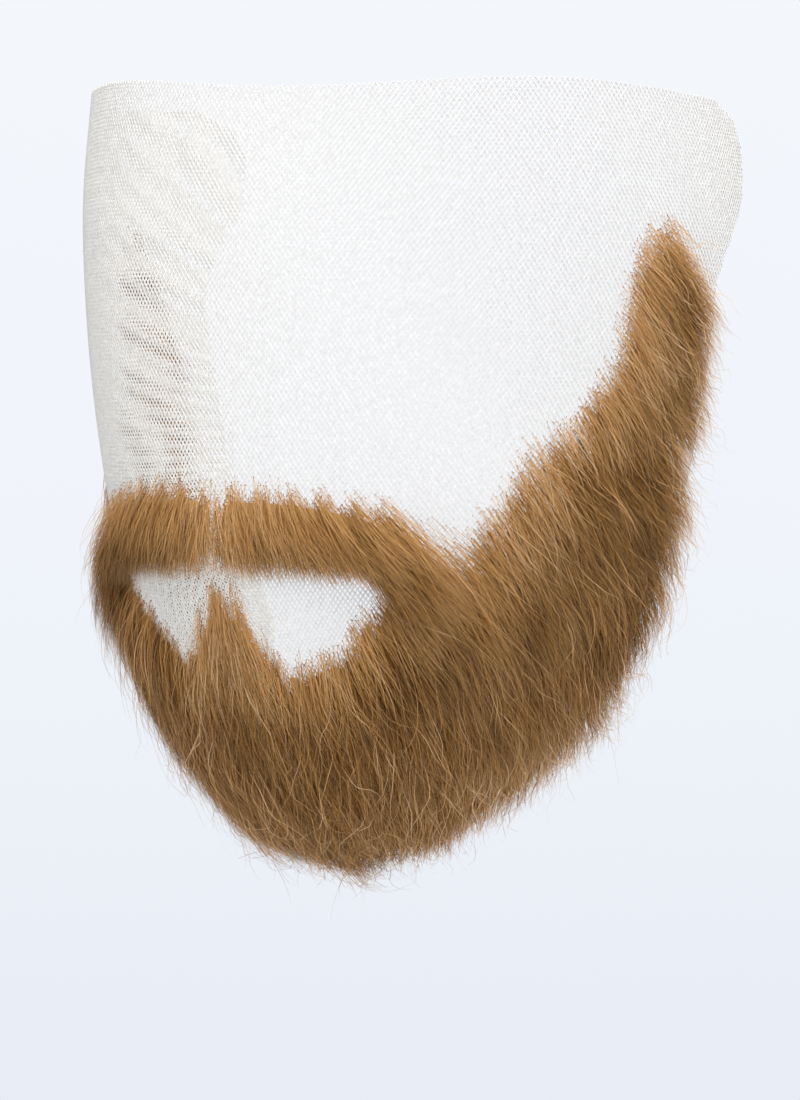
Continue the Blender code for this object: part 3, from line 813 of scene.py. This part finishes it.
def addStrands(tree, given, kind, step):
    # the nodes for one kind of strand, from its roots to its faces
    def own(label):
        return given[kind + " " + label]

    def read(label):
        return namedField(tree, label)

    def swirl(place, pace, detail, reach):
        noise = put(tree, "ShaderNodeTexNoise", {"Vector": place, "W": pace, "Scale": 1.0, "Detail": detail},
                noise_dimensions="4D").outputs["Color"]
        return scaled(tree, vectorCalc(tree, "SUBTRACT", noise, (0.5, 0.5, 0.5)), reach)

    seed = plus(tree, given["Seed"], 100.0 * step)
    density = times(tree, own("Strands"), read("cover"))
    if kind == "Curl":
        calm = strandShape["calmCurls"]
        density = times(tree, density, plus(tree, times(tree, read("frizzy"), 1 - calm), calm))
    roots = made(tree, "GeometryNodeDistributePointsOnFaces",
            {"Mesh": given["Geometry"], "Density": density, "Seed": seed})
    # each hair's own numbers, kept on its root
    chances = {"tone": (own("Tone Low"), own("Tone High")), "reach": (own("Reach"), 1.0),
            "lay": (own("Lay Low"), own("Lay High")), "swing": (-1.0, 1.0), "stray": (0.0, 1.0),
            "girth": strandShape["girths"]}
    for index, (label, (low, high)) in enumerate(chances.items()):
        draw = plus(tree, seed, index + 1.0)
        chance = put(tree, "FunctionNodeRandomValue", {2: low, 3: high, "Seed": draw})
        roots = store(tree, roots, label, chance.outputs[1])
    roots = store(tree, roots, "root", made(tree, "GeometryNodeInputPosition"), "FLOAT_VECTOR")
    roots = store(tree, roots, "strand", made(tree, "GeometryNodeInputIndex"))

    line = made(tree, "GeometryNodeCurvePrimitiveLine", {"End": (0, 0, 1)})
    line = made(tree, "GeometryNodeResampleCurve", {"Curve": line, "Count": plus(tree, own("Segments"), 1.0)})
    hairs = copied(tree, roots, line)

    root, rootNormal, tipNormal, acrossWay = (
        vectorField(tree, label) for label in ("root", "rootNormal", "tipNormal", "acrossWay"))
    factor = put(tree, "GeometryNodeSplineParameter").outputs["Factor"]
    t = times(tree, factor, read("reach"))
    left = minus(tree, 1.0, t)
    weights = (times(tree, left, left, t, 3.0), times(tree, t, t, left, 3.0), times(tree, t, t, t))
    shape = vectorSum(tree, *(scaled(tree, vectorField(tree, label), weight)
            for label, weight in zip(("first", "second", "third"), weights)))
    # swings each hair a little to one side, round the lace's normal at its root
    shape = made(tree, "ShaderNodeVectorRotate", {"Vector": shape, "Axis": rootNormal,
            "Angle": times(tree, read("swing"), own("Fan"))})
    # draws it towards the middle of its lock
    flat = combined(tree, read("acrossMetres"), times(tree, read("alongMetres"), strandShape["lockLength"]))
    lock = put(tree, "ShaderNodeTexVoronoi", {"Vector": flat, "Scale": over(tree, 1.0, given["Lock Size"])},
            voronoi_dimensions="2D").outputs
    pull = made(tree, "ShaderNodeSeparateXYZ", {0: vectorCalc(tree, "SUBTRACT", lock["Position"], flat)})
    sideways = scaled(tree, acrossWay, times(tree, pull, given["Lock Draw"], t))
    lockTone = made(tree, "ShaderNodeSeparateXYZ", {0: lock["Color"]})
    # lays it higher or lower in the thickness of the hair
    up = put(tree, "ShaderNodeMix", {0: t, 4: rootNormal, 5: tipNormal}, data_type="VECTOR").outputs[1]
    above = times(tree, minus(tree, lockTone, strandShape["lockMiddle"]), given["Lock Lift"])
    height = times(tree, plus(tree, read("lay"), above), read("depth"),
            minus(tree, 1.0, calc(tree, "POWER", left, strandShape["rise"])))
    # waves that neighbouring hairs share, and each hair's own frizz
    wave = swirl(scaled(tree, root, over(tree, 1.0, given["Wave Size"])),
            times(tree, t, strandShape["waveTwist"]), 1.0, times(tree, given["Wave"], t))
    stray = calc(tree, "LESS_THAN", read("stray"), strandShape["strayShare"])
    more = plus(tree, times(tree, read("frizzy"), strandShape["moreFrizz"]), strandShape["calmFrizz"])
    reach = times(tree, own("Frizz"), calc(tree, "POWER", t, strandShape["frizzRise"]),
            plus(tree, 1.0, times(tree, stray, strandShape["strayFrizz"])), more)
    ownPlace = combined(tree, *(times(tree, read(label), spread)
            for label, spread in strandShape["frizzSeeds"].items()))
    frizz = swirl(ownPlace, times(tree, t, own("Twist")), 0.0, reach)
    place = vectorSum(tree, root, shape, scaled(tree, up, height), sideways, wave, frizz)
    hairs = made(tree, "GeometryNodeSetPosition", {"Geometry": hairs, "Position": place})
    hairs = store(tree, hairs, "along", factor)
    hairs = store(tree, hairs, "tone", plus(tree, times(tree, read("tone"), 1 - strandShape["lockTone"]),
            times(tree, lockTone, strandShape["lockTone"])))

    thin = minus(tree, 1.0, times(tree, factor, factor, strandShape["taper"]))
    thinEdge = minus(tree, 1.0, times(tree, read("edge"), strandShape["thinEdge"]))
    girth = times(tree, own("Radius"), read("girth"), thin, thinEdge)
    # the strand faces outwards, with a roll of its own
    roll = times(tree, minus(tree, read("stray"), 0.5), 2.0, own("Roll"))
    facing = vectorSum(tree, up, scaled(tree, acrossWay, roll))
    sideNormal = vectorCalc(tree, "CROSS_PRODUCT", made(tree, "GeometryNodeInputTangent"), facing)
    hairs = made(tree, "GeometryNodeSetCurveNormal", {"Curve": hairs, "Normal": sideNormal}, mode="FREE")
    blade = made(tree, "GeometryNodeCurvePrimitiveLine", {"Start": (-1, 0, 0), "End": (1, 0, 0)})
    blade = store(tree, blade, "around", made(tree, "GeometryNodeInputIndex"))
    strands = made(tree, "GeometryNodeCurveToMesh", {"Curve": hairs, "Profile Curve": blade, "Scale": girth})
    # each strand has its own cell of the bake map
    number = put(tree, "GeometryNodeAttributeDomainSize", {"Geometry": roots},
            component="POINTCLOUD").outputs["Point Count"]
    columns = calc(tree, "CEIL", calc(tree, "POWER", times(tree, number, strandShape["mapShape"]), 0.5))
    rows = calc(tree, "CEIL", over(tree, number, columns))
    row = calc(tree, "FLOOR", over(tree, plus(tree, read("strand"), 0.5), columns))
    column = minus(tree, read("strand"), times(tree, row, columns))
    rim = strandShape["mapRim"]
    u = over(tree, plus(tree, column, rim, times(tree, read("around"), 1 - 2 * rim)), columns)
    v = over(tree, plus(tree, row, rim, times(tree, read("along"), 1 - 2 * rim)), rows)
    v = plus(tree, own("Map Low"), times(tree, v, minus(tree, own("Map High"), own("Map Low"))))
    return store(tree, strands, "OFBake", combined(tree, u, v), "FLOAT2", "CORNER"), roots


def addKnots(tree, given, roots):
    # the knots that show along a hairline, all on one spot of the bake map
    chosen = calc(tree, "GREATER_THAN", namedField(tree, "edge"), strandShape["knotEdge"])
    ball = put(tree, "GeometryNodeMeshUVSphere",
            {"Segments": strandShape["knotSides"], "Rings": strandShape["knotRings"],
            "Radius": given["Knot Radius"]})
    place = made(tree, "GeometryNodeInputPosition")
    flat = vectorSum(tree, scaled(tree, place, strandShape["knotMap"]), strandShape["knotSpot"])
    shape = store(tree, ball.outputs["Mesh"], "OFBake", flat, "FLOAT2", "CORNER")
    return store(tree, copied(tree, roots, shape, chosen), "knot", 1.0)


def makeStrandTree():
    numbers = dict(hairInputs)
    for kind, values in strandKinds.items():
        numbers.update({kind + " " + label: value for label, value in values.items()})
    tree, given, out = newTree("strands", numbers)
    parts = []
    for step, kind in enumerate(strandKinds):
        strands, roots = addStrands(tree, given, kind, step)
        parts.append(strands)
        if kind == "Combed":
            parts.append(addKnots(tree, given, roots))
    spareNames = ("reach", "lay", "swing", "stray", "girth", "root", "strand", "around", "first", "second",
            "third", "rootNormal", "tipNormal", "acrossWay", "cover", "frizzy", "depth", "acrossMetres",
            "alongMetres")
    coat = put(tree, "GeometryNodeObjectInfo", {"Object": given["Undercoat"]}).outputs["Geometry"]
    return finishTree(tree, joined(tree, (joined(tree, parts), coat)), spareNames, given, out)


# Where the sections meet, in degrees of turn, and how the hair is parted, a little to the left (+X)
seams = {"mouth": 39.0, "hem": 45.0, "rear": 91.0}
parting = {"moustacheTurn": 1.5, "soulPatchTurn": 2.3, "overlap": 0.4, "spread": 1.5}

moustacheRaise = {1: 0.008, -1: 0.014}  # how much higher than its hairline the hair starts, on each side


def moustachePlace(across, along, side):
    partingTurn = side * parting["moustacheTurn"] - parting["overlap"] + parting["spread"] * along
    turn = mix(partingTurn, seams["mouth"], across)
    top = readLine(moustacheHairline, turn) - moustacheRaise[side]
    return turn, mix(top, readLine(moustacheRootEnd, turn), along)


soulPatch = {"halfTurns": (4.4, 16.2), "flare": 1.4, "topShift": 0.75, "downs": (0.510, 0.618)}


def soulPatchPlace(across, along, side):
    shift = parting["soulPatchTurn"] * mix(soulPatch["topShift"], 0.0, along)
    turn = mix(-1, 1, across) * mix(*soulPatch["halfTurns"], along ** soulPatch["flare"]) + shift
    return turn, mix(*soulPatch["downs"], along)


# how much higher than its hairline the chin's hair starts, from right (-X) to left
chinRaise = ((-39.0, 0.000), (-36.0, 0.036), (-31.0, 0.066), (-22.0, 0.062), (-16.0, 0.040), (-11.0, 0.016),
        (0.0, 0.008), (26.0, 0.014), (31.0, 0.026), (36.0, 0.024), (39.0, 0.010))


def chinPlace(across, along, side):
    spread = mix(-1, 1, across)
    topTurn, hemTurn = seams["mouth"] * spread, seams["hem"] * spread
    places, raises = np.array(chinRaise).T
    top = readLine(chinHairline, topTurn) - np.interp(topTurn, places, raises)
    return mix(topTurn, hemTurn, along), mix(top, readLine(beardHem, hemTurn), along)


def chinTop(share, inset):
    # the chin has a hairline only beside the soul patch
    turns = np.abs(mix(-seams["mouth"], seams["mouth"], share))
    inset = inset * smooth((turns - 8.0) / 6) * mix(1.0, 0.6, smooth((turns - 33.0) / 5))
    return (turns > 12.0) & (turns < 38.4), inset


cheek = {"rearBulge": 4.5, "raise": 0.018, "raiseStart": 38.0, "raiseEnd": 66.0}


def cheekPlace(across, along, side):
    bulge = cheek["rearBulge"] * across**3 * np.sin(np.pi * np.clip(along, 0, 1))
    topTurn, hemTurn = mix(seams["mouth"], seams["rear"], across), mix(seams["hem"], seams["rear"], across)
    raised = smooth((cheek["raiseEnd"] - topTurn) / 4) * smooth((topTurn - cheek["raiseStart"]) / 6)
    top = readLine(cheekHairline, topTurn) - cheek["raise"] * raised
    return mix(topTurn, hemTurn, along) + bulge, mix(top, readLine(beardHem, hemTurn), along)


def cheekTop(share, inset):
    # the cheek's hairline fades out below the sideburn
    turns = mix(seams["mouth"], seams["rear"], share)
    inset = inset * smooth((78.0 - turns) / 12) * mix(0.45, 1.0, smooth((turns - seams["mouth"]) / 7))
    return (turns > 38.0) * (1 + 9 * smooth((turns - 62.0) / 12)), inset


sideburn = {"top": 0.129, "base": 0.360, "frontRoom": 1.0, "rearRoom": 1.5}  # room in degrees past its edges


def sideburnPlace(across, along, side):
    down = mix(sideburn["top"], sideburn["base"], along)
    downs, fronts, rears = np.array(sideburnEdges).T
    return mix(np.interp(down, downs, fronts) - sideburn["frontRoom"],
            np.interp(down, downs, rears) + sideburn["rearRoom"], across), down


lipLine = ((0.0, 0.513), (24.0, 0.521), (31.0, 0.532), (39.0, 0.570))

# Borders are top, bottom, first side and last side. A hairline is True, or a number that brings it closer
# to its border. Insets are how far in the undercoat stays, and top gives both where they change along it.
# Fade is a hairline's width. Hairline light is how far in painted light makes the hair lighter near its
# hairline, and how much on the first side and on the last.
sections = {
    "moustache": {
        "place": moustachePlace, "grid": (90, 16), "slot": "moustache_hair", "tone": 0.03, "lipLine": lipLine,
        "hairlines": (True, False, False, False), "insets": (0.0145, 0.0030, 0.0034, 0.0),
        "fade": 0.0095, "hairlineLight": (0.024, 1.0, 0.1),
        "values": {"Combed Strands": 7.2e6, "Wave": 0.0030, "Combed Reach": 0.72, "Curl Strands": 0.0,
        "Fly Strands": 0.05e6, "Combed Frizz": 0.0042}},
    "cheek": {
        "place": cheekPlace, "grid": (84, 36), "slot": "beard_hair", "tone": -0.04, "top": cheekTop,
        "hairlines": (True, False, False, 2.2), "insets": (0.0185, 0.0050, 0.0, 0.0050),
        "fade": 0.0135, "hairlineLight": (0.030, 1.3, 1.2), "values": {}},
    "sideburn": {
        "place": sideburnPlace, "grid": (22, 50), "slot": "sideburn_hair", "tone": 0.03,
        "hairlines": (True, False, True, 2.2), "insets": (0.0220, 0.0, 0.0150, 0.0050),
        "fade": 0.0100, "hairlineLight": (0.024, 1.1, 0.7),
        "values": {"Combed Strands": 4.3e6, "Wave": 0.0050}},
    "chin": {
        "place": chinPlace, "grid": (120, 30), "slot": "beard_hair", "tone": -0.02, "top": chinTop,
        "hairlines": (True, False, False, False), "insets": (0.0100, 0.0050, 0.0, 0.0),
        "fade": 0.0070, "hairlineLight": (0.015, 1.3, 1.3),
        "values": {"Combed Strands": 2.66e6}},
    "soul_patch": {
        "place": soulPatchPlace, "grid": (24, 24), "slot": "beard_hair", "tone": 0.06,
        "hairlines": (True, False, True, True), "insets": (0.0140, 0.0, 0.0050, 0.0050),
        "fade": 0.0075, "hairlineLight": (0.030, 1.0, 1.0),
        "values": {"Combed Strands": 6.2e6, "Wave": 0.0035, "Lock Lift": 0.18}},
}


def makeHair(name, section, side, seed, tree, material):
    info = sections[section]
    columns, rows = info["grid"]
    hairlines, insets = list(info["hairlines"]), list(info["insets"])
    if "top" in info:
        hairlines[0], insets[0] = info["top"](np.linspace(0, 1, columns)[None, :], insets[0])

    def place(across, along):
        return info["place"](across, along, side)

    sheet = makeHairSheet(name, place, columns, rows, side, hairlines, info["fade"], info["hairlineLight"],
            info.get("lipLine"))
    coat = makeUndercoat(name, place, columns, rows, side, insets, info["hairlineLight"][0])
    hair = grow(name, sheet, tree, {"Seed": seed, "Undercoat": coat, **info["values"]}, material)
    bpy.data.objects.remove(coat)
    return hair


studio = {
    "floorSize": 6.0,
    "floorDrop": 0.55,
    "floorPaint": (0.80, 0.81, 0.84, 1.0),
    "floorRoughness": 0.9,
    # from straight down at 0 to straight up at 1
    "sky": ((0.0, (0.45, 0.46, 0.48)), (0.44, (0.76, 0.80, 0.89)), (0.5, (0.87, 0.90, 0.955)),
        (0.56, (0.93, 0.945, 0.975)), (1.0, (1.0, 1.0, 1.0))),
    "dimWay": (-0.78, -0.45, 0.43),  # the studio is a little darker on the right (-X)
    "dimStart": 0.12,
    "dimming": 0.38,
}


def makeStage():
    half, drop = studio["floorSize"] / 2, -studio["floorDrop"]
    corners = [(-half, -half, drop), (half, -half, drop), (half, half, drop), (-half, half, drop)]
    floor = meshObject("floor", corners, [(0, 1, 2, 3)])
    material, _, shader = newMaterial("floor_paint")
    shader.inputs["Base Color"].default_value = studio["floorPaint"]
    shader.inputs["Roughness"].default_value = studio["floorRoughness"]
    floor.data.materials.append(material)
    world = bpy.data.worlds.new("studio")
    world.use_nodes = True
    sky = world.node_tree
    way = put(sky, "ShaderNodeTexCoord").outputs["Generated"]
    level = put(sky, "ShaderNodeSeparateXYZ", {0: way}).outputs[2]
    tint = colourRamp(sky, plus(sky, times(sky, level, 0.5), 0.5), studio["sky"])
    facing = put(sky, "ShaderNodeVectorMath", {0: way, 1: studio["dimWay"]},
            operation="DOT_PRODUCT").outputs["Value"]
    dimming = times(sky, calc(sky, "MAXIMUM", minus(sky, facing, studio["dimStart"]), 0.0), studio["dimming"])
    tint = scaled(sky, tint, minus(sky, 1.0, dimming))
    sky.links.new(tint, sky.nodes["Background"].inputs["Color"])
    bpy.context.scene.world = world
    bpy.context.scene.view_settings.view_transform = "Standard"


def placeFacing(name, data, spot, way):
    # stands a lamp or the camera at a spot, facing against its way out
    thing = addObject(name, data)
    thing.location = spot
    thing.rotation_euler = (-way).to_track_quat("-Z", "Y").to_euler()
    return thing


lamps = {
    # azimuth from the front, elevation, distance, size, power
    "key": (33.0, 50.0, 1.6, 0.8, 16.0),
    "fill": (80.0, 30.0, 1.7, 1.0, 2.0),
    "rim": (140.0, 30.0, 1.5, 0.9, 5.0),
    "rim_far": (-120.0, 25.0, 1.6, 0.9, 1.5),
    "bounce": (0.0, -38.0, 0.70, 0.8, 0.8),
}


def makeLamps(centre):
    for name, (azimuth, elevation, distance, size, power) in lamps.items():
        a, e = math.radians(azimuth), math.radians(elevation)
        way = Vector((math.sin(a) * math.cos(e), -math.cos(a) * math.cos(e), math.sin(e)))
        data = bpy.data.lights.new(name, "AREA")
        data.size = size
        data.energy = power
        placeFacing(name, data, Vector(centre) + way * distance, way)


cameraView = {
    "azimuth": 31.0,
    "distance": 2.0,
    "pixelsPerMetre": 4130.0,
    "photoSize": (800, 1100),
    "axisPixel": 423.0,  # where the form's upright axis stands in the photograph's frame
    "middleLevel": 0.077,  # height of the frame's middle row above the form's zero
    "sensorWidth": 36.0,
    "clipEnd": 30.0,
}


def makeCamera():
    a = math.radians(cameraView["azimuth"])
    way = Vector((math.sin(a), -math.cos(a), 0.0))
    right = Vector((math.cos(a), math.sin(a), 0.0))
    width, height = cameraView["photoSize"]
    axis = Vector((0.0, -formSeat[1], cameraView["middleLevel"] - formSeat[2]))
    aim = axis + right * ((width / 2 - cameraView["axisPixel"]) / cameraView["pixelsPerMetre"])
    data = bpy.data.cameras.new("camera")
    data.sensor_width = cameraView["sensorWidth"]
    data.lens = cameraView["pixelsPerMetre"] * data.sensor_width * cameraView["distance"] / height
    data.clip_end = cameraView["clipEnd"]
    bpy.context.scene.camera = placeFacing("camera", data, aim + way * cameraView["distance"], way)
    return aim


aim = makeCamera()
makeStage()
makeLamps(aim)
print("beard: camera, floor and lamps placed")

net, laceArea = makeLace(makeNetMaterial())
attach(net, "root")
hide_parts("lace_foundation")
print("beard: lace made")

strandTree = makeStrandTree()
pieces = [("chin_beard", "chin", 1, 11), ("soul_patch", "soul_patch", 1, 12)]
for sideName, side in (("left", 1), ("right", -1)):
    for section, seed in (("moustache", 20), ("cheek", 40), ("sideburn", 60)):
        pieces.append((section + "_" + sideName, section, side, seed + (side < 0) * 7))
for nodeName, section, side, seed in pieces:
    info = sections[section]
    look = section + "_strands"
    material = bpy.data.materials.get(look) or makeHairMaterial(look, info["tone"])
    hair = makeHair(nodeName + "_hair", section, side, seed, strandTree, material)
    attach(hair, "root")
    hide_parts(nodeName)
print("beard: hair made")
